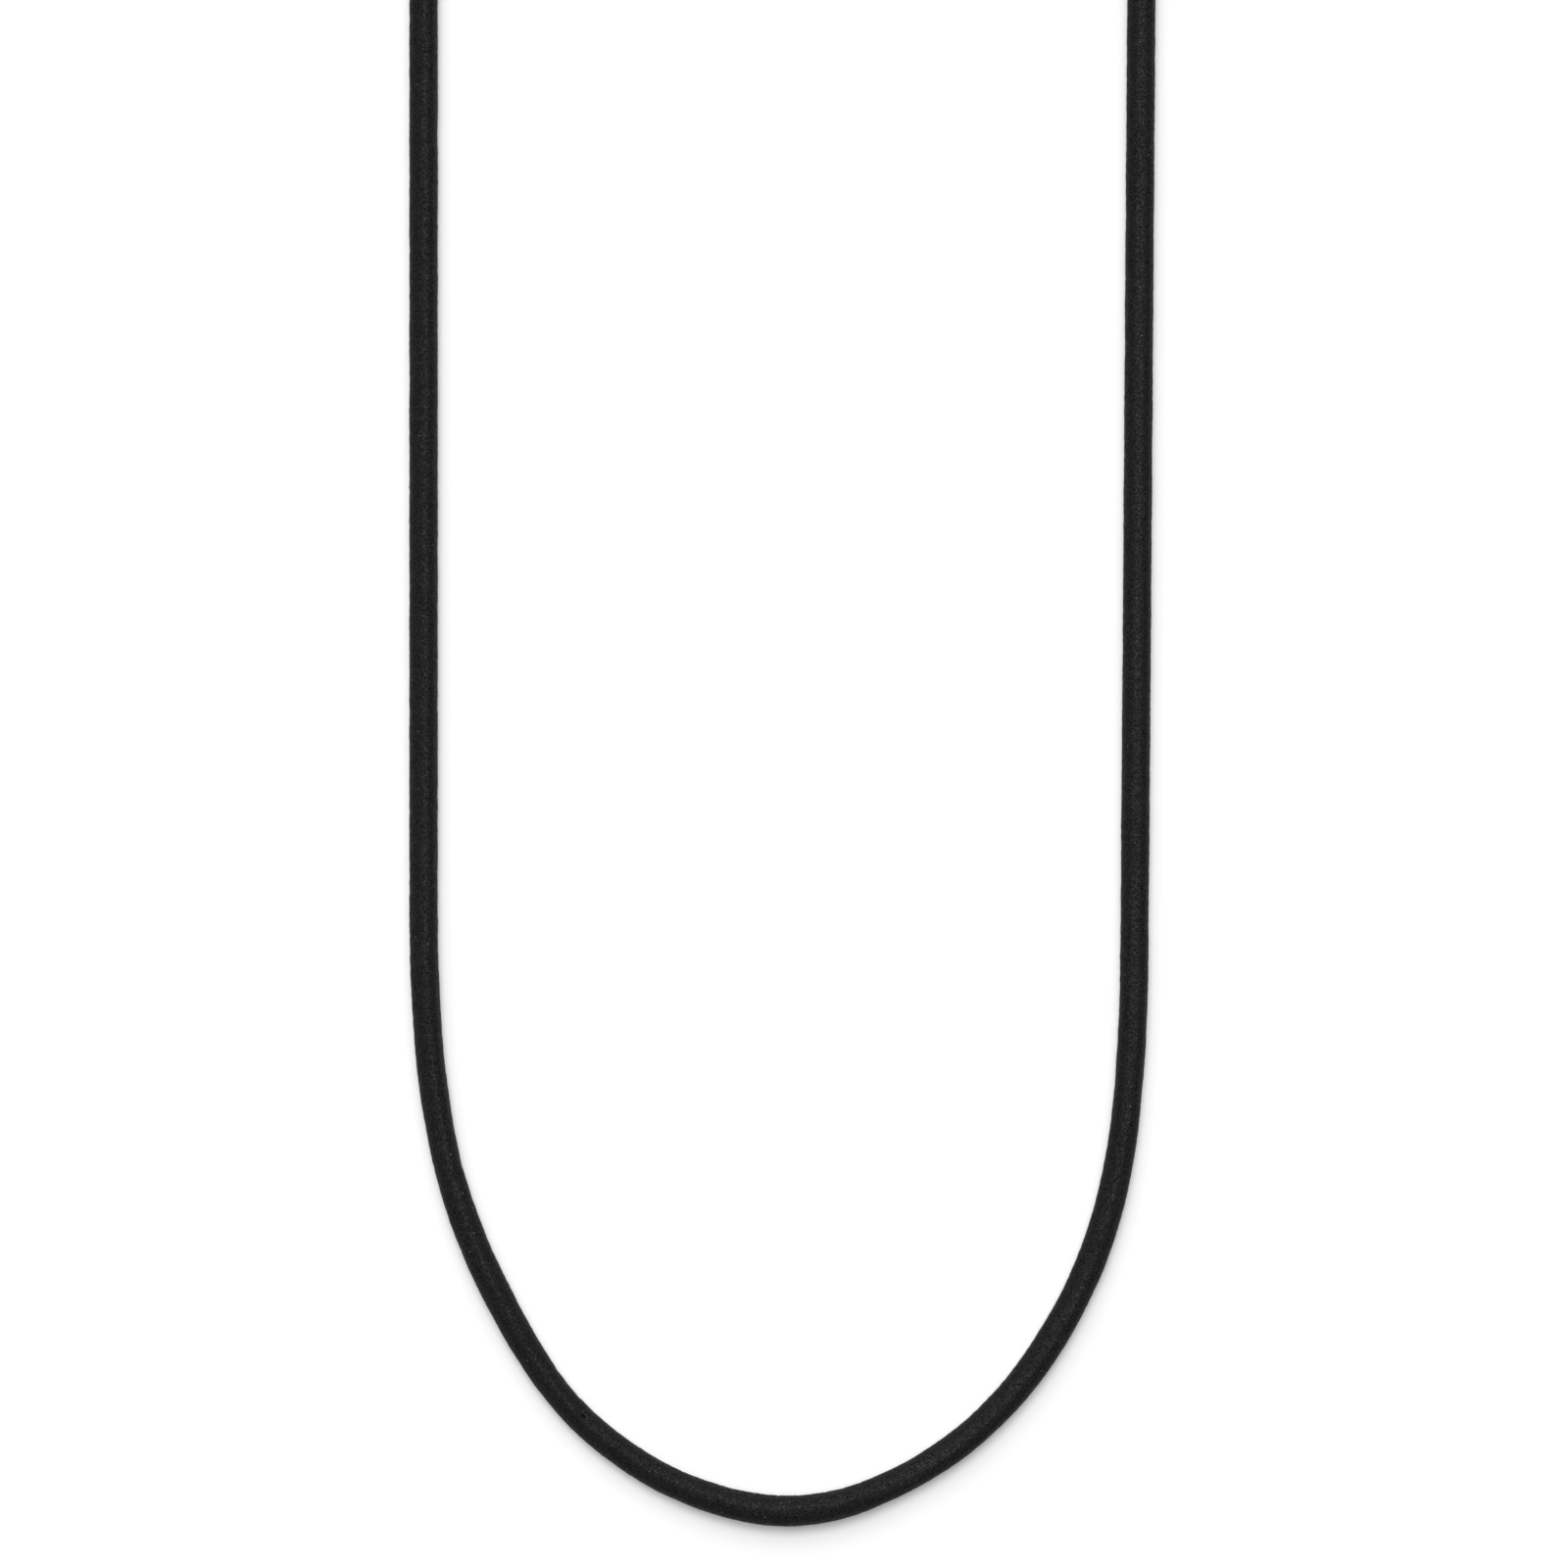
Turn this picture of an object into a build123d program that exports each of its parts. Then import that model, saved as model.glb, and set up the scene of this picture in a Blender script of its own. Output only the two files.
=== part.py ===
from build123d import *
import math
import os

# Leather cord necklace: a loop of round leather cord laid flat on a table and closed by a barrel clasp.
# Sizes are in millimetres. The origin is on the table under the middle of the clasp, +X runs along the
# clasp, +Z is up, and the loop lies towards -Y, with the lowest part of its U furthest from the clasp.

# The cord
cord_diameter = 3.0
cord_radius = cord_diameter / 2
arc_share = 0.45  # of the shorter run beside a corner, taken by the arc in that corner

# The clasp, one plain turned piece with a blind socket in each end
clasp_length = 20.0
socket_depth = 6.0
glue_gap = 0.05  # all round the cord in its socket
clasp_wall = 0.9  # from the socket to the outside of the body between the collars
collar_length = 2.4
collar_step = 0.3  # how far the two end collars stand out from the body
collar_rounding = 0.7  # at the clasp's ends
collar_back_rounding = 0.2  # on each collar's edge towards the body
mouth_chamfer = 0.3  # round the socket's mouth
groove_width = 0.5  # the line round the middle where the two halves close
groove_depth = 0.3
touch = 1e-6  # two values nearer than this are the same

socket_radius = cord_radius + glue_gap
body_radius = socket_radius + clasp_wall
collar_radius = body_radius + collar_step  # the collars rest on the table

on_table = cord_radius  # height of the cord's centre where it lies on the table
in_clasp = collar_radius  # height of its centre where it enters the clasp
socket_floor = clasp_length / 2 - socket_depth  # distance of each socket's floor from the middle
exit_run = 5.5  # how far past the clasp's mouth the cord's first corner is
first_corner = clasp_length / 2 + exit_run

# The cord's route, from the left socket round the loop to the right socket
left_shoulder = [
    (-socket_floor, 0, in_clasp),
    (-first_corner, 0, in_clasp),
    (-27.0, -5.0, (in_clasp + on_table) / 2),
    (-35.0, -17.0, on_table),
    (-38.3, -32.5, on_table),
]
bottom_of_the_u = [
    (-38.3, -152.6),
    (-37.4, -165.4),
    (-34.9, -177.3),
    (-29.5, -189.4),
    (-22.6, -200.2),
    (-11.2, -208.2),
    (2.1, -211.1),
    (14.6, -206.5),
    (24.5, -198.5),
    (32.0, -186.9),
    (36.0, -174.7),
    (37.5, -159.8),
]
right_shoulder = [
    (38.5, -34.0, on_table),
    (35.6, -18.0, on_table),
    (27.5, -5.4, (in_clasp + on_table) / 2),
    (first_corner, 0, in_clasp),
    (socket_floor, 0, in_clasp),
]
route = left_shoulder + [(x, y, on_table) for x, y in bottom_of_the_u] + right_shoulder


def corner_radii(points):
    """One arc radius for each corner, as large as the two runs beside it allow."""
    stops = [Vector(*point) for point in points]
    radii = []
    for before, here, after in zip(stops, stops[1:], stops[2:]):
        run_in = here - before
        run_out = after - here
        turn = math.radians(run_in.get_angle(run_out))
        radii.append(arc_share * min(run_in.length, run_out.length) / math.tan(turn / 2))
    return radii


def make_cord():
    """A round tube along the route, straight runs joined by tangent arcs."""
    radii = corner_radii(route)
    path = FilletPolyline(*route, radius=radii)
    section = Plane(origin=path @ 0, z_dir=path % 0) * Circle(cord_radius)
    cord = sweep(section, path=path)
    print("arc radii", [round(radius, 1) for radius in radii])
    print("cord length", round(path.length, 2))
    print("loop with its clasp", round(path.length - 2 * socket_depth + clasp_length, 2))
    print("tube volume against section times length", round(cord.volume / (section.area * path.length), 5))
    return cord


def round_collars(outline, distance, rounding):
    """Round the outline's two collar corners at this distance either side of the middle."""
    corners = outline.vertices().filter_by(lambda corner: abs(corner.Y - collar_radius) < touch)
    corners = corners.filter_by(lambda corner: abs(abs(corner.X) - distance) < touch)
    return fillet(corners, rounding)


def make_clasp():
    """The barrel, turned about the X axis from its upper half outline, then bored at both ends."""
    half = clasp_length / 2
    inner_end = half - collar_length
    groove_half = groove_width / 2
    groove_floor = body_radius - groove_depth
    outline = make_face(
        Polyline(
            (-half, 0),
            (-half, collar_radius),
            (-inner_end, collar_radius),
            (-inner_end, body_radius),
            (-groove_half, body_radius),
            (-groove_half, groove_floor),
            (groove_half, groove_floor),
            (groove_half, body_radius),
            (inner_end, body_radius),
            (inner_end, collar_radius),
            (half, collar_radius),
            (half, 0),
            (-half, 0),
        )
    )
    end_face = collar_radius - socket_radius - mouth_chamfer
    outline = round_collars(outline, half, min(collar_rounding, end_face))
    outline = round_collars(outline, inner_end, min(collar_back_rounding, collar_step))
    barrel = revolve(outline, axis=Axis.X)
    to_mouth = (Align.CENTER, Align.CENTER, Align.MAX)
    socket = Cylinder(socket_radius, socket_depth, align=to_mouth)
    entry = Cone(socket_radius, socket_radius + mouth_chamfer, mouth_chamfer, align=to_mouth)
    for side in (-1, 1):
        mouth = Plane(origin=(side * half, 0, 0), z_dir=(side, 0, 0))
        barrel -= mouth * (socket + entry)
    return Pos(0, 0, in_clasp) * barrel


os.makedirs("parts", exist_ok=True)
cord = make_cord()
clasp = make_clasp()
export_step(cord, "parts/leather_cord.step")
export_step(clasp, "parts/barrel_clasp.step")
print("clasp volume", round(clasp.volume, 1))
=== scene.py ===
import math

import bpy
import numpy as np
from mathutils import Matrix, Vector


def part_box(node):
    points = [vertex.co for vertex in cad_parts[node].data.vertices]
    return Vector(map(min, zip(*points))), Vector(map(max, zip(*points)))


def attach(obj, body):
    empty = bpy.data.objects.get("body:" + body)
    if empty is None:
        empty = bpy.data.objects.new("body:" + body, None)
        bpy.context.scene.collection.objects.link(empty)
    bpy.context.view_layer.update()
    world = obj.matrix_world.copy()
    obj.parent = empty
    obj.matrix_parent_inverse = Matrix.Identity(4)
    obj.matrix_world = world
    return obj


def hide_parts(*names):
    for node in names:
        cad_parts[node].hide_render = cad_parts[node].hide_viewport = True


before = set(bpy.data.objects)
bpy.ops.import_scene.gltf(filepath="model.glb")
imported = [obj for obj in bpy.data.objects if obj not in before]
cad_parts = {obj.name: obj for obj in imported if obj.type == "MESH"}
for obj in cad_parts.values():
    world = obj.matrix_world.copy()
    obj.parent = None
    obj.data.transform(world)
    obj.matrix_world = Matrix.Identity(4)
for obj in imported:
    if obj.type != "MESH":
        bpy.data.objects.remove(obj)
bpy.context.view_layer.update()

# A round leather cord necklace, laid in a long U on a white table and closed by a steel barrel clasp.
# Metres, Z up. The origin is on the table under the clasp, X runs along the clasp, and the U lies
# towards -Y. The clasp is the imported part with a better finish. The cord is made here on its own line.

claspLow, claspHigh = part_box("barrel_clasp")
claspMiddle = (claspLow + claspHigh) / 2
onTable = 0.0015  # height of the cord's middle where it lies on the table
inClasp = claspMiddle.z
climbing = (onTable + inClasp) / 2
print("frame loaded, the clasp is", round(1000 * (claspHigh.x - claspLow.x), 1), "mm long")

leatherCord = {
    "length": 0.5,
    "thickness": 0.003,
    "strips": 7,  # its skin is laid out flat in this many strips
    "ringsInStrip": 343,
    "sides": 40,
    "stripGap": 0.06,  # left free between two strips, of a strip's width
    "stripReach": 0.965,  # of the layout's width
    "discSize": 0.012,  # radius of the end faces in the layout, and their middles
    "discMiddles": ((0.984, 0.3), (0.984, 0.7)),
    "lineSteps": 200,  # places read from each span of its line
    # x, y and z of the points that its line is drawn towards, from the clasp's left socket to its right
    "route": [
        (-0.0040, 0.0, inClasp),
        (-0.0155, 0.0, inClasp),
        (-0.0270, -0.0050, climbing),
        (-0.0350, -0.0170, onTable),
        (-0.03833, -0.0325, onTable),
        (-0.03833, -0.0483, onTable),
        (-0.03833, -0.1398, onTable),
        (-0.03833, -0.1526, onTable),
        (-0.03742, -0.1654, onTable),
        (-0.03495, -0.1773, onTable),
        (-0.02954, -0.1894, onTable),
        (-0.02259, -0.20018, onTable),
        (-0.0112, -0.20817, onTable),
        (0.0021, -0.2111, onTable),
        (0.0146, -0.2065, onTable),
        (0.0245, -0.1985, onTable),
        (0.03196, -0.1869, onTable),
        (0.0360, -0.1747, onTable),
        (0.03752, -0.1598, onTable),
        (0.03768, -0.1448, onTable),
        (0.03835, -0.0503, onTable),
        (0.0385, -0.0340, onTable),
        (0.0356, -0.0180, onTable),
        (0.0275, -0.0054, climbing),
        (0.0155, 0.0, inClasp),
        (0.0040, 0.0, inClasp),
    ],
    # how thick it is at these distances from its left end, fattest at the lowest bend
    "thicknessAlong": [
        (0.000, 0.00304),
        (0.188, 0.00304),
        (0.193, 0.00298),
        (0.200, 0.00312),
        (0.208, 0.00319),
        (0.213, 0.00313),
        (0.222, 0.00292),
        (0.229, 0.00304),
        (0.236, 0.00307),
        (0.245, 0.00327),
        (0.252, 0.00334),
        (0.256, 0.00319),
        (0.261, 0.00305),
        (0.275, 0.00308),
        (0.285, 0.00321),
        (0.291, 0.00313),
        (0.299, 0.00315),
        (0.304, 0.00309),
        (0.314, 0.00300),
        (0.326, 0.00304),
        (0.333, 0.00298),
        (0.340, 0.00303),
        (0.500, 0.00303),
    ],
    "thicknessSmoothing": 19,  # rings that each ring's thickness is averaged over
    "bendSmoothing": 41,
    "plainUpTo": 0.0065,  # from each end, so that it fits its socket
    "fullReliefFrom": 0.010,
    "swellingSeed": 4,
    "swellings": 16,
    "swellingHeight": 0.000009,
    "swellingLengths": (0.0028, 0.012),
    "swellingTurns": 3,
    "wrinkleSeed": 11,
    "wrinkleDepth": 0.00007,
    "wrinkleSpacing": 0.0012,
    "wrinkleFromBend": 16.0,  # one over the bend's radius
    "wrinkleFullBend": 46.0,
    "wrinkleDrift": 0.45,  # how far the folds stray from even spacing, and the waves that they stray in:
    "driftWaves": [(0.0071, 1), (0.0039, 2), (0.0023, 1)],  # length along, whole turns round
    "napSeed": 7,
    "napHeight": 0.000007,
    # its section isn't quite round: ridges, and flats where the height is less than nothing. Each
    # row has the distances along where it starts and stops, its middle in degrees round from the
    # inside of the loop (90 is the top), its half width in degrees, and its height
    "ridges": [
        (-0.020, 0.191, 61, 17, 0.000080),
        (-0.020, 0.191, 64, 30, 0.000080),
        (0.191, 0.236, 57, 24, 0.000080),
        (0.191, 0.236, 137, 34, -0.000080),
        (0.236, 0.262, 96, 18, -0.000028),
        (0.236, 0.262, 72, 17, 0.000041),
        (0.262, 0.309, 55, 34, -0.000080),
        (0.262, 0.309, 86, 19, -0.000077),
        (0.309, 0.520, 91, 17, -0.000066),
        (0.309, 0.520, 126, 19, 0.000078),
    ],
    "ridgeFade": 0.006,
    # each has its distance along, degrees round, half length along, half length round, and depth
    "dents": [
        (0.2254, 75, 0.00030, 0.00018, 0.00012),
        (0.1948, 5, 0.00060, 0.00060, 0.00006),
        (0.1963, 84, 0.00015, 0.00070, 0.00004),
        (0.1978, 70, 0.00014, 0.00060, 0.00004),
        (0.2196, 8, 0.00030, 0.00060, 0.00006),
        (0.2216, 12, 0.00030, 0.00060, 0.00005),
        (0.2236, 6, 0.00034, 0.00060, 0.00006),
        (0.2562, 58, 0.00020, 0.00070, 0.00010),
        (0.2600, 62, 0.00018, 0.00050, 0.00008),
        (0.2623, 66, 0.00018, 0.00070, 0.00010),
    ],
}


def unit(vectors):
    # Each vector divided by its own length.
    return vectors / np.linalg.norm(vectors, axis=-1, keepdims=True)


def smoothStep(value, low, high):
    # 0 below low, 1 above high, and three times the share squared less twice its cube between them.
    share = np.clip((value - low) / (high - low), 0, 1)
    return share * share * (3 - 2 * share)


def runningMean(values, count):
    # Each value becomes the sum of the count of values about it, divided by the count.
    return np.convolve(values, np.ones(count) / count, mode="same")


def smoothLine(name, points, steps):
    # One open NURBS spline drawn towards the points, read back as a dense chain of places on it.
    curve = bpy.data.curves.new(name, "CURVE")
    curve.dimensions = "3D"
    spline = curve.splines.new("NURBS")
    spline.points.add(len(points) - 1)
    spline.points.foreach_set("co", np.column_stack([points, np.ones(len(points))]).ravel())
    spline.order_u = 3
    spline.use_endpoint_u = True
    spline.resolution_u = steps
    holder = bpy.data.objects.new(name, curve)
    bpy.context.scene.collection.objects.link(holder)
    mesh = bpy.data.meshes.new_from_object(holder)
    line = np.empty(3 * len(mesh.vertices))
    mesh.vertices.foreach_get("co", line)
    bpy.data.objects.remove(holder)
    bpy.data.curves.remove(curve)
    bpy.data.meshes.remove(mesh)
    return line.reshape(-1, 3)


def evenPlaces(line, count):
    # The line as evenly spaced places, and each one's distance from the start.
    steps = np.linalg.norm(np.diff(line, axis=0), axis=1)
    distance = np.concatenate([[0], np.cumsum(steps)])
    along = np.linspace(0, distance[-1], count)
    places = np.column_stack([np.interp(along, distance, line[:, axis]) for axis in range(3)])
    return places, along


def waysAcross(places):
    # Ahead runs along the line. Inward is straight up crossed with ahead, so it is level and points
    # to the inside of the loop. Upward is ahead crossed with inward.
    ahead = unit(np.gradient(places, axis=0))
    inward = unit(np.cross([0.0, 0.0, 1.0], ahead))
    return ahead, inward, np.cross(ahead, inward)


def swellingsOf(cord, along, angles):
    # A sum of long waves. Each is the sine of its turns along the cord plus a whole number of turns
    # round it plus a start, so it meets itself round the cord.
    dice = np.random.default_rng(cord["swellingSeed"])
    lengths = dice.uniform(*cord["swellingLengths"], cord["swellings"])
    turns = dice.integers(0, cord["swellingTurns"] + 1, cord["swellings"])
    starts = dice.uniform(0, 2 * math.pi, cord["swellings"])
    waves = 2 * math.pi * along[:, :, None] / lengths + turns * angles[:, :, None] + starts
    return cord["swellingHeight"] * np.sin(waves).sum(axis=2) / math.sqrt(cord["swellings"] / 2)


def ridgesOf(cord, along, angles):
    # Each ridge is its height times e to the minus of the squared angle from its middle over its half
    # width, times a smooth step up where it starts and one down where it stops.
    relief = np.zeros_like(along)
    fade = cord["ridgeFade"]
    for start, stop, degrees, halfWidth, height in cord["ridges"]:
        turn = (angles - math.radians(degrees) + math.pi) % (2 * math.pi) - math.pi
        share = smoothStep(along, start - fade, start + fade) - smoothStep(along, stop - fade, stop + fade)
        relief += height * share * np.exp(-((turn / math.radians(halfWidth)) ** 2))
    return relief


def wrinklesOf(cord, along, angles, bend):
    # Folds pressed up on the inside of a bend: minus the depth, times how tight the bend is, times
    # the squared cosine of the angle on the inner half, times a narrow valley at each fold. A fold
    # comes whenever the running count of folds is whole, and a few waves make that count drift.
    dice = np.random.default_rng(cord["wrinkleSeed"])
    tight = smoothStep(bend, cord["wrinkleFromBend"], cord["wrinkleFullBend"])
    inner = np.clip(np.cos(angles), 0, 1) ** 2
    starts = dice.uniform(0, 2 * math.pi, len(cord["driftWaves"]))
    drift = np.zeros_like(along)
    for (length, turns), start in zip(cord["driftWaves"], starts):
        drift += np.sin(2 * math.pi * along / length + turns * angles + start)
    folds = along / cord["wrinkleSpacing"] + cord["wrinkleDrift"] * drift
    valley = (1 - np.abs(np.sin(math.pi * folds))) ** 2
    return -cord["wrinkleDepth"] * tight * inner * valley


def dentsOf(cord, along, angles):
    # Each dent is minus its depth times e to the minus of its two squared distances, along the cord
    # and round it, each measured in half lengths.
    relief = np.zeros_like(along)
    for where, degrees, halfAlong, halfRound, depth in cord["dents"]:
        turn = (angles - math.radians(degrees) + math.pi) % (2 * math.pi) - math.pi
        away = turn * cord["thickness"] / 2
        relief -= depth * np.exp(-(((along - where) / halfAlong) ** 2) - (away / halfRound) ** 2)
    return relief


def napOf(cord, along):
    # One random height for each point of the skin, plus half of each neighbour's, first of those
    # round the cord and then of those along it.
    dice = np.random.default_rng(cord["napSeed"])
    rough = dice.normal(0, cord["napHeight"], along.shape)
    rough = rough + 0.5 * (np.roll(rough, 1, axis=1) + np.roll(rough, -1, axis=1))
    rough[1:-1] += 0.5 * (rough[:-2] + rough[2:])
    return rough


def cordSkin(cord, places, distances):
    # A point at distance s along the line and angle a round it is line(s) plus the reach(s, a) times
    # (inward(s) cos a + upward(s) sin a). The reach is half the thickness there plus all the relief.
    # Where the cord is fatter its line is lifted by as much, and what would go through the table is
    # laid flat on it.
    ahead, inward, upward = waysAcross(places)
    bend = (np.gradient(ahead, distances, axis=0) * inward).sum(axis=1)
    bend = runningMean(bend, cord["bendSmoothing"])
    turns = np.linspace(0, 2 * math.pi, cord["sides"], endpoint=False)
    along, angles = np.meshgrid(distances, turns, indexing="ij")
    toEnd = np.minimum(along, distances[-1] - along)
    free = smoothStep(toEnd, cord["plainUpTo"], cord["fullReliefFrom"])
    where, thickness = np.transpose(cord["thicknessAlong"])
    extra = np.interp(distances, where, thickness) - cord["thickness"]
    extra = runningMean(extra, cord["thicknessSmoothing"])[:, None] / 2
    relief = extra + swellingsOf(cord, along, angles) + wrinklesOf(cord, along, angles, bend[:, None])
    relief += ridgesOf(cord, along, angles) + dentsOf(cord, along, angles) + napOf(cord, along)
    reach = cord["thickness"] / 2 + free * relief
    lifted = places + np.column_stack([0 * distances, 0 * distances, np.clip(extra[:, 0], 0, None)])
    across = inward[:, None] * np.cos(angles)[:, :, None] + upward[:, None] * np.sin(angles)[:, :, None]
    skin = lifted[:, None] + reach[:, :, None] * across
    skin[:, :, 2] = np.clip(skin[:, :, 2], 0, None)
    # the same skin with the cord pulled straight, for patterns that follow it
    straight = np.stack([along, reach * np.cos(angles), reach * np.sin(angles)], axis=2)
    return skin, straight


def tubeFaces(rings, sides):
    # Four-sided faces between neighbouring rings, and a fan from each end ring to a point in its
    # middle. The corners run so that every face looks outwards.
    ring, side = np.meshgrid(np.arange(rings - 1), np.arange(sides), indexing="ij")
    ring, side = ring.ravel(), side.ravel()
    beside = (side + 1) % sides
    here = ring * sides
    walls = np.stack([here + side, here + beside, here + sides + beside, here + sides + side], axis=1)
    spoke = np.arange(sides)
    after = (spoke + 1) % sides
    last = (rings - 1) * sides
    startMiddle, endMiddle = rings * sides, rings * sides + 1
    startFan = np.stack([np.full(sides, startMiddle), after, spoke], axis=1)
    endFan = np.stack([np.full(sides, endMiddle), last + spoke, last + after], axis=1)
    return walls, startFan, endFan


def stripMap(cord, rings):
    # The flat layout of the skin: equal strips side by side, each as long as its share of the cord
    # and as wide as the way round it, and the two end faces as small discs beside them.
    sides, perStrip, gap = cord["sides"], cord["ringsInStrip"], cord["stripGap"]
    ring, side = np.meshgrid(np.arange(rings - 1), np.arange(sides), indexing="ij")
    ring, side = ring.ravel()[:, None], side.ravel()[:, None]
    strip = ring // perStrip
    u = cord["stripReach"] * (ring - strip * perStrip + np.array([0, 0, 1, 1])) / perStrip
    v = (strip + gap / 2 + (1 - gap) * (side + np.array([0, 1, 1, 0])) / sides) / cord["strips"]
    walls = np.stack([u, v], axis=2).reshape(-1, 2)
    turn = 2 * math.pi * np.arange(sides) / sides
    step = 2 * math.pi / sides
    fans = []
    for middle, leads in zip(cord["discMiddles"], ((step, 0), (0, step))):
        spokes = [np.zeros((sides, 2))]
        for lead in leads:
            rim = np.column_stack([np.cos(turn + lead), np.sin(turn + lead)])
            spokes.append(cord["discSize"] * rim)
        fans.append((np.array(middle) + np.stack(spokes, axis=1)).reshape(-1, 2))
    return np.concatenate([walls, *fans])


def makeCord(cord, finish):
    # The skin on its evenly spaced line, with its flat layout, its finish, and its length and lie.
    rings = cord["strips"] * cord["ringsInStrip"] + 1
    line = smoothLine("cord_line", cord["route"], cord["lineSteps"])
    places, distances = evenPlaces(line, rings)
    print("cord line drawn,", round(1000 * distances[-1], 1), "mm long")
    skin, straight = cordSkin(cord, places, distances)
    ends = np.stack([places[0], places[-1]])
    straightEnds = np.array([[distances[0], 0, 0], [distances[-1], 0, 0]])
    walls, startFan, endFan = tubeFaces(rings, cord["sides"])
    mesh = bpy.data.meshes.new("leather_cord_skin")
    faces = walls.tolist() + startFan.tolist() + endFan.tolist()
    mesh.from_pydata(np.concatenate([skin.reshape(-1, 3), ends]), [], faces)
    straightPlace = mesh.attributes.new("straightPlace", "FLOAT_VECTOR", "POINT")
    straight = np.concatenate([straight.reshape(-1, 3), straightEnds])
    straightPlace.data.foreach_set("vector", straight.ravel())
    layout = mesh.uv_layers.new(name="OFBake")
    layout.data.foreach_set("uv", stripMap(cord, rings).ravel())
    mesh.polygons.foreach_set("use_smooth", np.ones(len(faces), dtype=bool))
    mesh.materials.append(finish)
    mesh.validate()
    mesh.update()
    piece = bpy.data.objects.new("leather_cord_worn", mesh)
    bpy.context.scene.collection.objects.link(piece)
    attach(piece, "root")
    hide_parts("leather_cord")
    print("leather cord made,", len(faces), "faces")
    return piece


def addNode(tree, kind, place, values=(), **settings):
    # One node, with the values of its sockets and its own settings.
    node = tree.nodes.new(kind)
    node.location = place
    for name, setting in settings.items():
        setattr(node, name, setting)
    for socket, value in dict(values).items():
        node.inputs[socket].default_value = value
    return node


def joinNodes(tree, *pairs):
    # One link for each pair, from its source to its target.
    for source, target in pairs:
        tree.links.new(source, target)


def newGroup(name, inputs, output):
    # An empty group: its named inputs, each with its kind and first value, and one named output.
    group = bpy.data.node_groups.new(name, "ShaderNodeTree")
    for label, kind, value in inputs:
        socket = group.interface.new_socket(label, in_out="INPUT", socket_type=kind)
        if value is not None:
            socket.default_value = value
    group.interface.new_socket(output, in_out="OUTPUT", socket_type="NodeSocketFloat")
    start = addNode(group, "NodeGroupInput", (-800, 0))
    end = addNode(group, "NodeGroupOutput", (800, 0))
    return group, start.outputs, end.inputs[output]


def mottleGroup():
    # Cloudy values about one half: noise with lumps of the given size, stretched by the contrast.
    inputs = [
        ("Place", "NodeSocketVector", None),
        ("Lump Size", "NodeSocketFloat", 0.001),
        ("Contrast", "NodeSocketFloat", 2.0),
    ]
    group, given, result = newGroup("mottle", inputs, "Amount")
    perLump = addNode(group, "ShaderNodeMath", (-600, -150), {0: 1.0}, operation="DIVIDE")
    scaled = addNode(group, "ShaderNodeVectorMath", (-400, 0), operation="SCALE")
    noise = addNode(group, "ShaderNodeTexNoise", (-200, 0), {"Scale": 1.0, "Detail": 3.0, "Roughness": 0.6})
    centred = addNode(group, "ShaderNodeMath", (0, 0), {1: -0.5}, operation="ADD")
    spread = addNode(group, "ShaderNodeMath", (200, 0), {2: 0.5}, operation="MULTIPLY_ADD", use_clamp=True)
    joinNodes(
        group,
        (given["Lump Size"], perLump.inputs[1]),
        (given["Place"], scaled.inputs[0]),
        (perLump.outputs[0], scaled.inputs["Scale"]),
        (scaled.outputs[0], noise.inputs["Vector"]),
        (noise.outputs["Fac"], centred.inputs[0]),
        (centred.outputs[0], spread.inputs[0]),
        (given["Contrast"], spread.inputs[1]),
        (spread.outputs[0], result),
    )
    return group


def speckGroup():
    # Small round specks at random: 1 in the middle of a speck, falling to 0 at its reach. Only the
    # given share of the cells, which are one spacing apart, has a speck.
    inputs = [
        ("Place", "NodeSocketVector", None),
        ("Spacing", "NodeSocketFloat", 0.001),
        ("Reach", "NodeSocketFloat", 0.3),
        ("Share", "NodeSocketFloat", 0.5),
    ]
    group, given, result = newGroup("specks", inputs, "Amount")
    perCell = addNode(group, "ShaderNodeMath", (-600, -150), {0: 1.0}, operation="DIVIDE")
    scaled = addNode(group, "ShaderNodeVectorMath", (-400, 0), operation="SCALE")
    cells = addNode(group, "ShaderNodeTexVoronoi", (-200, 0), {"Scale": 1.0}, feature="F1")
    fall = addNode(group, "ShaderNodeMapRange", (50, 100), {"To Min": 1.0, "To Max": 0.0})
    fall.interpolation_type = "SMOOTHSTEP"
    lot = addNode(group, "ShaderNodeSeparateColor", (0, -150))
    chosen = addNode(group, "ShaderNodeMath", (200, -150), operation="LESS_THAN")
    speck = addNode(group, "ShaderNodeMath", (400, 0), operation="MULTIPLY")
    joinNodes(
        group,
        (given["Spacing"], perCell.inputs[1]),
        (given["Place"], scaled.inputs[0]),
        (perCell.outputs[0], scaled.inputs["Scale"]),
        (scaled.outputs[0], cells.inputs["Vector"]),
        (cells.outputs["Distance"], fall.inputs["Value"]),
        (given["Reach"], fall.inputs["From Max"]),
        (cells.outputs["Color"], lot.inputs["Color"]),
        (lot.outputs["Red"], chosen.inputs[0]),
        (given["Share"], chosen.inputs[1]),
        (fall.outputs["Result"], speck.inputs[0]),
        (chosen.outputs[0], speck.inputs[1]),
        (speck.outputs[0], result),
    )
    return group


def newMaterial(name):
    # A material that holds one plain shader, ready for its patterns.
    material = bpy.data.materials.new(name)
    material.use_nodes = True
    tree = material.node_tree
    tree.nodes.clear()
    shader = addNode(tree, "ShaderNodeBsdfPrincipled", (1100, 0))
    output = addNode(tree, "ShaderNodeOutputMaterial", (1400, 0))
    joinNodes(tree, (shader.outputs["BSDF"], output.inputs["Surface"]))
    return material, tree, shader


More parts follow.
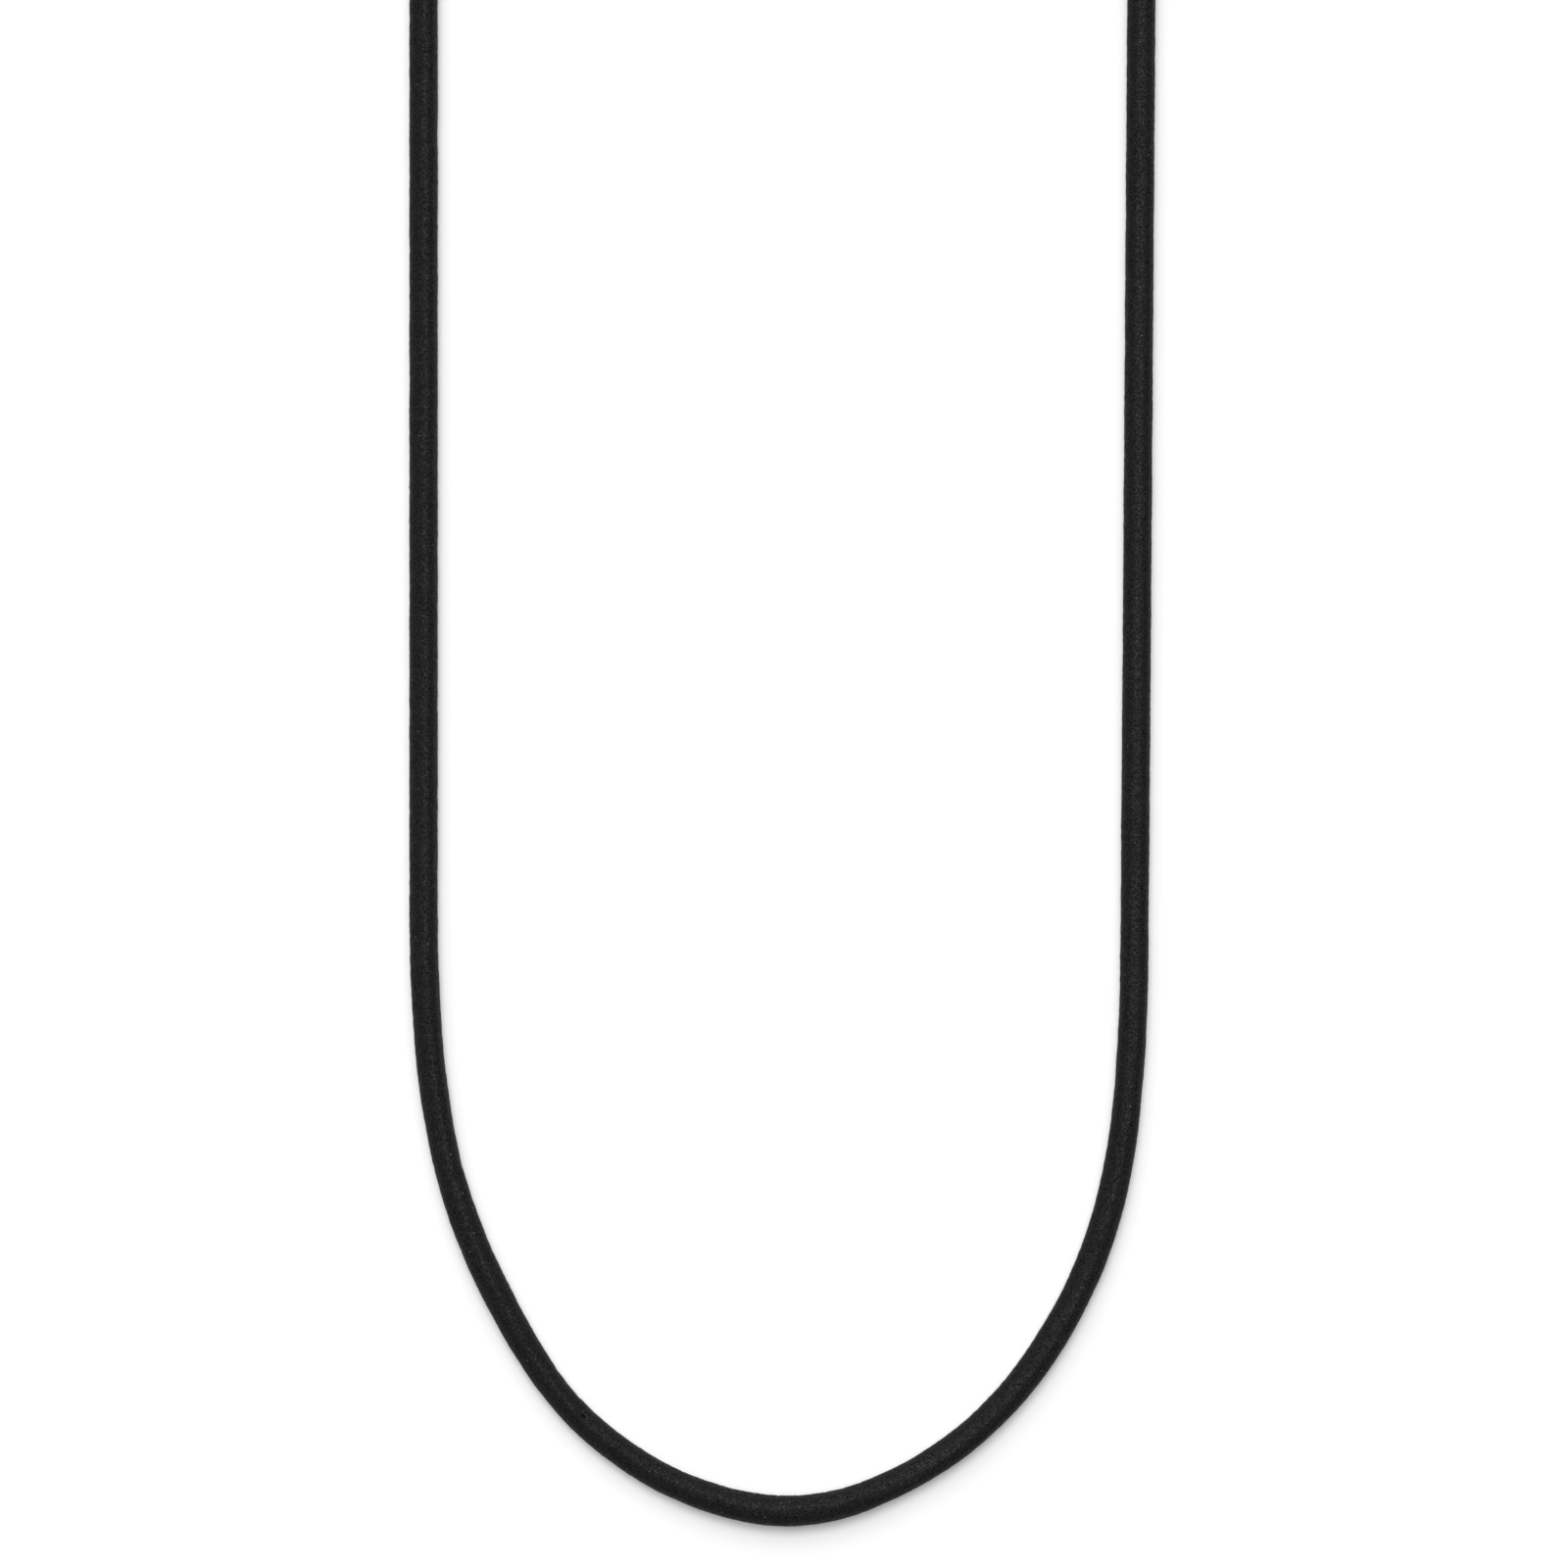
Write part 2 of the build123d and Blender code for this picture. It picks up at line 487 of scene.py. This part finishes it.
def shadedNickMask(tree, skin, shadedNick):
    # 1 inside the nick and 0 outside it: a smooth step down of the distance from its middle, measured
    # in half lengths along the cord and half widths across.
    turn = math.radians(shadedNick["degrees"])
    middle = (shadedNick["along"], shadedNick["reach"] * math.cos(turn), shadedNick["reach"] * math.sin(turn))
    size = (1 / shadedNick["halfLength"], 1 / shadedNick["halfWidth"], 1 / shadedNick["halfWidth"])
    away = addNode(tree, "ShaderNodeVectorMath", (-1000, 700), {1: middle}, operation="SUBTRACT")
    halves = addNode(tree, "ShaderNodeVectorMath", (-800, 700), {1: size}, operation="MULTIPLY")
    distance = addNode(tree, "ShaderNodeVectorMath", (-600, 700), operation="LENGTH")
    fall = addNode(tree, "ShaderNodeMapRange", (-400, 700), {"To Min": 1.0, "To Max": 0.0})
    fall.inputs["From Min"].default_value, fall.inputs["From Max"].default_value = shadedNick["edge"]
    fall.interpolation_type = "SMOOTHSTEP"
    joinNodes(
        tree,
        (skin, away.inputs[0]),
        (away.outputs[0], halves.inputs[0]),
        (halves.outputs[0], distance.inputs[0]),
        (distance.outputs["Value"], fall.inputs["Value"]),
    )
    return fall.outputs["Result"]


def scalesOf(tree, places, look):
    # 1 on the leather's scales and 0 in the cracks between them: a smooth step up of the distance to
    # the nearest border between two cells.
    perScale = addNode(tree, "ShaderNodeVectorMath", (-900, -400), operation="SCALE")
    perScale.inputs["Scale"].default_value = 1 / look["scaleSize"]
    cells = addNode(tree, "ShaderNodeTexVoronoi", (-700, -400), {"Scale": 1.0}, feature="DISTANCE_TO_EDGE")
    rise = addNode(tree, "ShaderNodeMapRange", (-500, -400), {"From Max": look["crack"]})
    rise.interpolation_type = "SMOOTHSTEP"
    joinNodes(
        tree,
        (places, perScale.inputs[0]),
        (perScale.outputs[0], cells.inputs["Vector"]),
        (cells.outputs["Distance"], rise.inputs["Value"]),
    )
    return rise.outputs["Result"]


def placeGroup(tree, group, place, source, values):
    # A group put in a material with its own values. It reads its places from the source.
    node = addNode(tree, "ShaderNodeGroup", place, node_tree=group)
    for label, value in values.items():
        node.inputs[label].default_value = value
    joinNodes(tree, (source, node.inputs["Place"]))
    return node.outputs["Amount"]


def mixColours(tree, place, amount, first, second):
    # The first colour where the amount is 0, and the second where it is 1.
    mix = addNode(tree, "ShaderNodeMix", place, data_type="RGBA")
    for socket, value in ((mix.inputs[6], first), (mix.inputs[7], second)):
        if isinstance(value, bpy.types.NodeSocket):
            joinNodes(tree, (value, socket))
        else:
            socket.default_value = (*value, 1)
    joinNodes(tree, (amount, mix.inputs[0]))
    return mix.outputs[2]


def addUp(tree, place, patterns, weights):
    # The sum of the patterns that are named in the weights, each times its weight.
    total = None
    for row, (name, weight) in enumerate(weights.items()):
        spot = (place[0] + 160 * row, place[1] - 60 * row)
        term = addNode(tree, "ShaderNodeMath", spot, {1: weight, 2: 0.0}, operation="MULTIPLY_ADD")
        joinNodes(tree, (patterns[name], term.inputs[0]))
        if total is not None:
            joinNodes(tree, (total, term.inputs[2]))
        total = term.outputs[0]
    return total


def rangeOf(tree, place, source, low, high):
    # Low where the source is 0, high where it is 1, and in proportion between them.
    spread = addNode(tree, "ShaderNodeMapRange", place, {"To Min": low, "To Max": high})
    joinNodes(tree, (source, spread.inputs["Value"]))
    return spread.outputs["Result"]


blackLeather = {
    "dye": (0.0025, 0.0025, 0.0026),
    "thinDye": (0.0184, 0.0182, 0.0180),
    # the pores' own dark colour, which also paints shade into the nick
    "poreAndNickShade": (0.0012, 0.0012, 0.0012),
    "fleck": (0.1200, 0.1185, 0.1160),
    "fibreStretch": (0.80, 1.0, 1.0),  # how fast grain, flecks and scales change, along the cord and across
    "grain": {"Lump Size": 0.00016, "Contrast": 5.0},
    "patches": {"Lump Size": 0.0035, "Contrast": 1.8},
    "pores": {"Spacing": 0.00036, "Reach": 0.30, "Share": 0.35},
    "flecks": {"Spacing": 0.00070, "Reach": 0.16, "Share": 0.16},
    "waxSpecks": {"Spacing": 0.00013, "Reach": 0.62, "Share": 0.55},
    "scaleSize": 0.00055,
    "crack": 0.16,  # how far it reaches into a scale, of the scale's size
    "wax": (0.015, 0.60),  # how thick it is between its specks, and on them
    "waxRoughness": 0.37,
    "roughness": (0.42, 0.60),
    "specular": 0.03,
    "bumpDepth": 0.00003,
    # how much of each pattern is in the thin dye, the roughness, the wax and the height
    "inThinDye": {"grain": 0.80, "patches": 0.10, "scales": 0.10},
    "inRoughness": {"patches": 0.5, "grain": 0.35, "pores": 0.4},
    "inWax": {"waxSpecks": 1.0, "pores": -0.5, "shadedNick": -1.0},
    "inHeight": {
        "grain": 0.55,
        "scales": 0.45,
        "pores": -0.8,
        "flecks": 0.3,
        "waxSpecks": 0.3,
        "shadedNick": -2.0,
    },
    # the small cut in the lower left bend, at the first of the cord's dents, painted as dark as a pore:
    # painted shade in the cut
    "shadedNick": {
        "along": 0.2254,
        "degrees": 72,
        "reach": 0.00138,  # from the middle of the cord
        "halfLength": 0.00050,
        "halfWidth": 0.00020,
        "edge": (0.6, 1.2),  # where it starts to fade and where it has gone, of its half size
    },
}


def makeLeather(look, mottle, specks):
    # Dyed leather: fine grain stretched along the cord, small scales parted by cracks, pores where
    # hair grew, pale flecks where the dye is rubbed off, slow patches of thinner dye, and specks of
    # wax that catch the light.
    material, tree, shader = newMaterial("black_leather_grain")
    skin = addNode(tree, "ShaderNodeAttribute", (-1200, 0), attribute_name="straightPlace")
    skin = skin.outputs["Vector"]
    fibres = addNode(tree, "ShaderNodeVectorMath", (-1000, 200), operation="MULTIPLY")
    fibres.inputs[1].default_value = look["fibreStretch"]
    joinNodes(tree, (skin, fibres.inputs[0]))
    along = fibres.outputs[0]
    patterns = {
        "grain": placeGroup(tree, mottle, (-700, 400), along, look["grain"]),
        "patches": placeGroup(tree, mottle, (-700, 200), skin, look["patches"]),
        "pores": placeGroup(tree, specks, (-700, 0), skin, look["pores"]),
        "flecks": placeGroup(tree, specks, (-700, -200), along, look["flecks"]),
        "waxSpecks": placeGroup(tree, specks, (-700, -600), skin, look["waxSpecks"]),
        "scales": scalesOf(tree, along, look),
        "shadedNick": shadedNickMask(tree, skin, look["shadedNick"]),
    }
    thin = addUp(tree, (-450, 350), patterns, look["inThinDye"])
    colour = mixColours(tree, (0, 300), thin, look["dye"], look["thinDye"])
    colour = mixColours(tree, (200, 250), patterns["pores"], colour, look["poreAndNickShade"])
    colour = mixColours(tree, (400, 200), patterns["flecks"], colour, look["fleck"])
    # painted shade: the nick's cut is darkened to the pore colour
    colour = mixColours(tree, (600, 150), patterns["shadedNick"], colour, look["poreAndNickShade"])
    gloss = addUp(tree, (-200, -100), patterns, look["inRoughness"])
    roughness = rangeOf(tree, (500, -100), gloss, *look["roughness"])
    coated = addUp(tree, (-200, -650), patterns, look["inWax"])
    wax = rangeOf(tree, (500, -650), coated, *look["wax"])
    height = addUp(tree, (-200, -400), patterns, look["inHeight"])
    bump = addNode(tree, "ShaderNodeBump", (800, -400), {"Strength": 1.0, "Distance": look["bumpDepth"]})
    shader.inputs["Specular IOR Level"].default_value = look["specular"]
    shader.inputs["Coat Roughness"].default_value = look["waxRoughness"]
    joinNodes(
        tree,
        (colour, shader.inputs["Base Color"]),
        (roughness, shader.inputs["Roughness"]),
        (wax, shader.inputs["Coat Weight"]),
        (height, bump.inputs["Height"]),
        (bump.outputs["Normal"], shader.inputs["Normal"]),
    )
    print("black leather mixed")
    return material


turnedSteel = {
    "bright": (0.52, 0.52, 0.53),
    "dull": (0.33, 0.33, 0.34),
    # the darker steel in the pits and in the middle groove
    "darkSteel": (0.05, 0.048, 0.045),
    "lines": {"Lump Size": 0.00009, "Contrast": 2.4},
    "smudges": {"Lump Size": 0.0022, "Contrast": 2.2},
    "pits": {"Spacing": 0.0009, "Reach": 0.12, "Share": 0.25},
    "groove": (0.00028, 0.00042),  # from the middle, where its darkening is full and where it has gone
    "roughness": (0.27, 0.50),
    "edgeTint": (0.35, 0.35, 0.36),  # how much of the shine is left where it is seen almost edge on
    "bumpDepth": 0.000006,
    # how much of each pattern is in the bright steel, the roughness and the height
    "inBright": {"lines": 0.6, "smudges": 0.4},
    "inRoughness": {"smudges": 0.6, "lines": 0.4, "groove": 0.8},
    "inHeight": {"lines": 1.0, "pits": -0.8},
}


def makeSteel(look, mottle, specks):
    # Turned steel: fine lines that run round the barrel, so their noise reads only the place along
    # its axis and the distance from it. The middle groove is darker and rougher, and smudges dull the
    # shine.
    material, tree, shader = newMaterial("turned_steel")
    place = addNode(tree, "ShaderNodeTexCoord", (-1400, 0)).outputs["Object"]
    centred = addNode(tree, "ShaderNodeVectorMath", (-1200, 0), {1: claspMiddle}, operation="SUBTRACT")
    parted = addNode(tree, "ShaderNodeSeparateXYZ", (-1000, 0))
    flat = addNode(tree, "ShaderNodeVectorMath", (-1000, -200), {1: (0.0, 1.0, 1.0)}, operation="MULTIPLY")
    radius = addNode(tree, "ShaderNodeVectorMath", (-800, -200), operation="LENGTH")
    lathe = addNode(tree, "ShaderNodeCombineXYZ", (-600, 0))
    fromMiddle = addNode(tree, "ShaderNodeMath", (-600, -450), operation="ABSOLUTE")
    groove = addNode(tree, "ShaderNodeMapRange", (-300, -450), {"To Min": 1.0, "To Max": 0.0})
    groove.inputs["From Min"].default_value, groove.inputs["From Max"].default_value = look["groove"]
    groove.interpolation_type = "SMOOTHSTEP"
    joinNodes(
        tree,
        (place, centred.inputs[0]),
        (centred.outputs[0], parted.inputs[0]),
        (centred.outputs[0], flat.inputs[0]),
        (flat.outputs[0], radius.inputs[0]),
        (parted.outputs["X"], lathe.inputs["X"]),
        (radius.outputs["Value"], lathe.inputs["Y"]),
        (parted.outputs["X"], fromMiddle.inputs[0]),
        (fromMiddle.outputs[0], groove.inputs["Value"]),
    )
    patterns = {
        "lines": placeGroup(tree, mottle, (-300, 200), lathe.outputs[0], look["lines"]),
        "smudges": placeGroup(tree, mottle, (-300, 0), centred.outputs[0], look["smudges"]),
        "pits": placeGroup(tree, specks, (-300, -200), centred.outputs[0], look["pits"]),
        "groove": groove.outputs["Result"],
    }
    tone = addUp(tree, (-50, 250), patterns, look["inBright"])
    colour = mixColours(tree, (400, 250), tone, look["dull"], look["bright"])
    colour = mixColours(tree, (600, 200), patterns["pits"], colour, look["darkSteel"])
    colour = mixColours(tree, (800, 150), patterns["groove"], colour, look["darkSteel"])
    gloss = addUp(tree, (-50, -100), patterns, look["inRoughness"])
    roughness = rangeOf(tree, (600, -100), gloss, *look["roughness"])
    height = addUp(tree, (-50, -350), patterns, look["inHeight"])
    bump = addNode(tree, "ShaderNodeBump", (800, -350), {"Strength": 1.0, "Distance": look["bumpDepth"]})
    shader.inputs["Metallic"].default_value = 1.0
    shader.inputs["Specular Tint"].default_value = (*look["edgeTint"], 1)
    joinNodes(
        tree,
        (colour, shader.inputs["Base Color"]),
        (roughness, shader.inputs["Roughness"]),
        (height, bump.inputs["Height"]),
        (bump.outputs["Normal"], shader.inputs["Normal"]),
    )
    print("turned steel mixed")
    return material


whiteTable = {
    "reach": 3.0,
    "drop": 0.00001,  # under the cord's own flats, so that the two don't share a plane
    "colour": (0.90, 0.90, 0.90),
    "glow": 0.04,  # light from below it, which thins the shadows a little
}


def makeTable(table):
    # A level square about the middle of the picture: x and y go from minus the reach to the reach.
    reach = table["reach"]
    x, y = np.meshgrid([-reach, reach], [-reach, reach])
    corners = np.column_stack([x.ravel(), y.ravel(), np.full(4, -table["drop"])])
    mesh = bpy.data.meshes.new("white_table")
    mesh.from_pydata(corners, [], [(0, 1, 3, 2)])
    material, tree, shader = newMaterial("white_paper")
    shader.inputs["Base Color"].default_value = (*table["colour"], 1)
    shader.inputs["Roughness"].default_value = 1.0
    shader.inputs["Specular IOR Level"].default_value = 0.0
    shader.inputs["Emission Color"].default_value = (1, 1, 1, 1)
    shader.inputs["Emission Strength"].default_value = table["glow"]
    mesh.materials.append(material)
    floor = bpy.data.objects.new("white_table", mesh)
    bpy.context.scene.collection.objects.link(floor)
    print("table laid")


photoCamera = {
    "pictureWidth": 0.16754,  # of the table that the picture takes in, at the cord's middle
    "middle": (0.00018, -0.13255),
    "lens": 300.0,
    "sensor": 36.0,
    "sees": (0.01, 20.0),  # nearest and furthest
}


def makeCamera(view):
    # It looks straight down, and its height over the cord's middle is the picture's width times the
    # lens, divided by the sensor.
    camera = bpy.data.cameras.new("photo_camera")
    camera.lens = view["lens"]
    camera.sensor_width = view["sensor"]
    camera.clip_start, camera.clip_end = view["sees"]
    holder = bpy.data.objects.new("photo_camera", camera)
    away = view["pictureWidth"] * view["lens"] / view["sensor"]
    holder.location = (*view["middle"], onTable + away)
    bpy.context.scene.collection.objects.link(holder)
    bpy.context.scene.camera = holder
    print("camera set", round(away, 3), "m above the cord")


# Each softbox is far off, so it lights the whole table alike. Its lean is how many degrees it stands
# from overhead towards +X and towards +Y, its spread is how many degrees wide it looks, and its
# strength is the light that it gives on a sheet facing it.
studio = {
    "softboxes": {
        "overhead_lamp": {"lean": (0.0, -1.5), "spread": 14.0, "strength": 0.36},
        "main_softbox": {"lean": (-3.0, 17.0), "spread": 33.0, "strength": 1.29},
        "wide_softbox": {"lean": (-10.0, 49.0), "spread": 67.0, "strength": 1.68},
    },
    "roomGlow": 0.323,
    "backdropWhite": 1.0,
}


def lightTheRoom(room):
    # A softbox shines from the way whose x and y are the tangents of its two leans, and whose z is 1.
    # The camera sees the plain white backdrop where all else is lit by the room's glow.
    for name, softbox in room["softboxes"].items():
        lamp = bpy.data.lights.new(name, "SUN")
        lamp.energy = softbox["strength"]
        lamp.angle = math.radians(softbox["spread"])
        holder = bpy.data.objects.new(name, lamp)
        towards = Vector([math.tan(math.radians(lean)) for lean in softbox["lean"]] + [1.0])
        holder.rotation_mode = "QUATERNION"
        holder.rotation_quaternion = towards.to_track_quat("Z", "Y")
        bpy.context.scene.collection.objects.link(holder)
    world = bpy.data.worlds.new("white_room")
    world.use_nodes = True
    tree = world.node_tree
    tree.nodes.clear()
    glow = addNode(tree, "ShaderNodeBackground", (0, 100), {"Strength": room["roomGlow"]})
    backdrop = addNode(tree, "ShaderNodeBackground", (0, -100), {"Strength": room["backdropWhite"]})
    for shade in (glow, backdrop):
        shade.inputs["Color"].default_value = (1, 1, 1, 1)
    ray = addNode(tree, "ShaderNodeLightPath", (0, 400))
    mix = addNode(tree, "ShaderNodeMixShader", (300, 0))
    output = addNode(tree, "ShaderNodeOutputWorld", (600, 0))
    joinNodes(
        tree,
        (ray.outputs["Is Camera Ray"], mix.inputs[0]),
        (glow.outputs[0], mix.inputs[1]),
        (backdrop.outputs[0], mix.inputs[2]),
        (mix.outputs[0], output.inputs["Surface"]),
    )
    bpy.context.scene.world = world
    bpy.context.scene.view_settings.view_transform = "Standard"
    print("room lit by", len(room["softboxes"]), "softboxes")


def dressClasp(finish):
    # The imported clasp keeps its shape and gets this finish.
    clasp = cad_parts["barrel_clasp"]
    clasp.data.materials.clear()
    clasp.data.materials.append(finish)
    print("clasp finished")


makeCamera(photoCamera)
mottle = mottleGroup()
specks = speckGroup()
makeCord(leatherCord, makeLeather(blackLeather, mottle, specks))
dressClasp(makeSteel(turnedSteel, mottle, specks))
makeTable(whiteTable)
lightTheRoom(studio)
